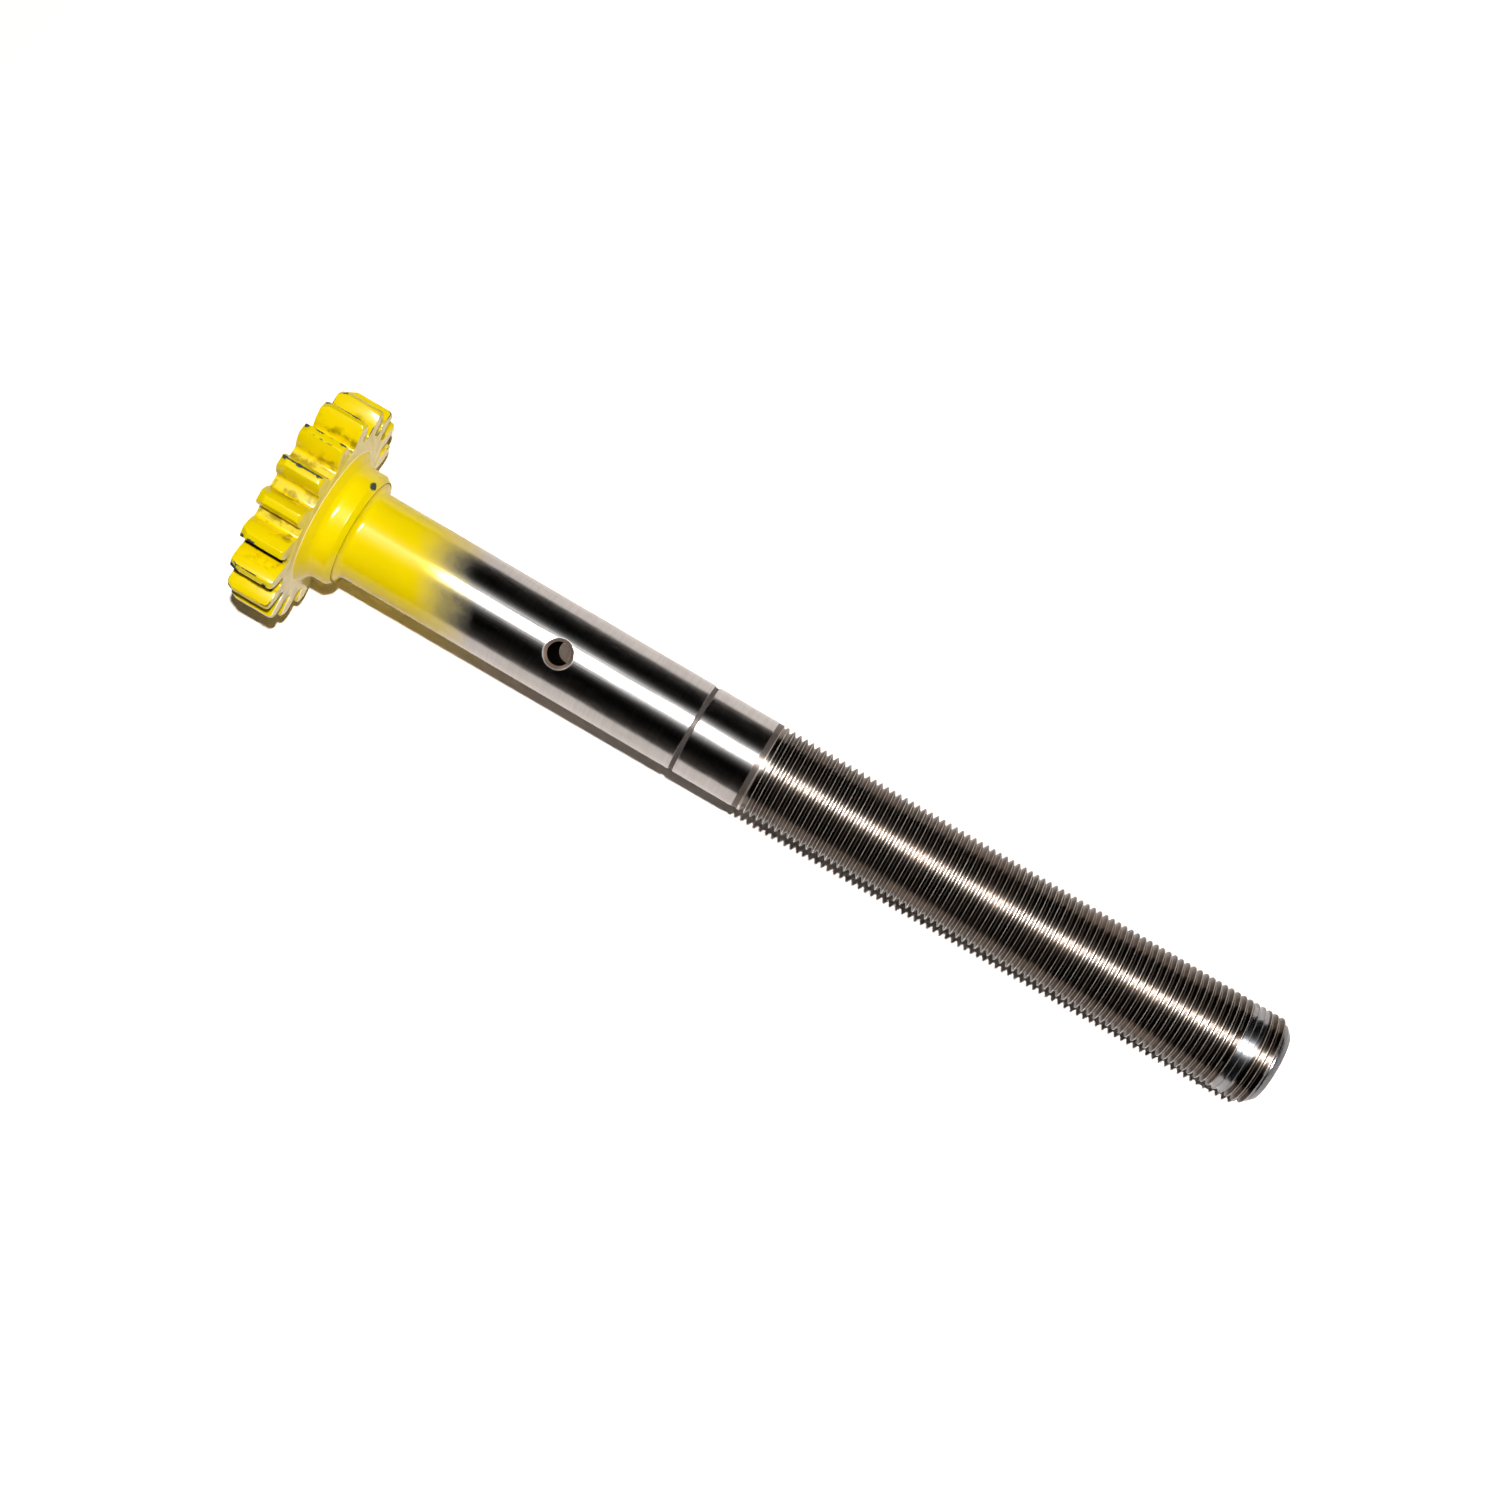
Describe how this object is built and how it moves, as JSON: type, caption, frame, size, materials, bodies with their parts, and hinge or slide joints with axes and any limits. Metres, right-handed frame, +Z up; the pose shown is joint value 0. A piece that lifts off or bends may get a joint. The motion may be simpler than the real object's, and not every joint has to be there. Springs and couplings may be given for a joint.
{
  "type": "gear shaft",
  "caption": "Steel shaft with an integral spur gear and collar at one end, a cross hole, a ring groove and a long threaded end.",
  "frame": {"origin": "centre of the resting footprint, on the ground under the shaft", "axes": "+X along the shaft from the gear to the threaded end, +Z up; the shaft lies at rest on two gear teeth and on the thread's far end, so its axis falls 3.76 degrees towards +X"},
  "size_m": [0.4752, 0.1, 0.0998],
  "materials": {
    "steel": "ground steel; the gear, the collar and the start of the shank are painted glossy yellow"
  },
  "bodies": {
    "root": {"gear_shaft": "steel"}
  },
  "joints": []
}
